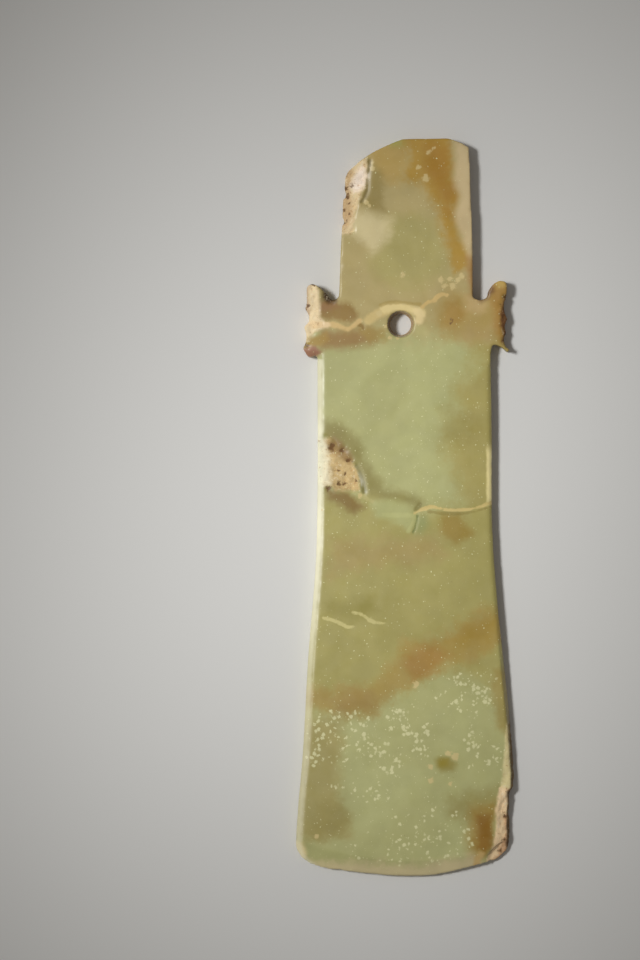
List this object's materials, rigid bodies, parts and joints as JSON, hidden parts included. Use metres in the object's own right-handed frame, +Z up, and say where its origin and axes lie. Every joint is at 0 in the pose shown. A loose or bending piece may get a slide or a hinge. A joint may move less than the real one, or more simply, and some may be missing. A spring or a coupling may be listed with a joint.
{
  "type": "jade axe head",
  "caption": "Flat carved jade axe head with a drilled tang, two toothed flanges and a flaring blade with a curved cutting edge.",
  "frame": {"origin": "centre of the bounding box's underside, where the flat back rests", "axes": "+Y from the cutting edge towards the butt of the tang, +Z up out of the front face, +X to the right seen from the front"},
  "size_m": [0.0634, 0.2142, 0.0053],
  "materials": {
    "jade": "satin"
  },
  "bodies": {
    "root": {"axe_head": "jade"}
  },
  "joints": []
}
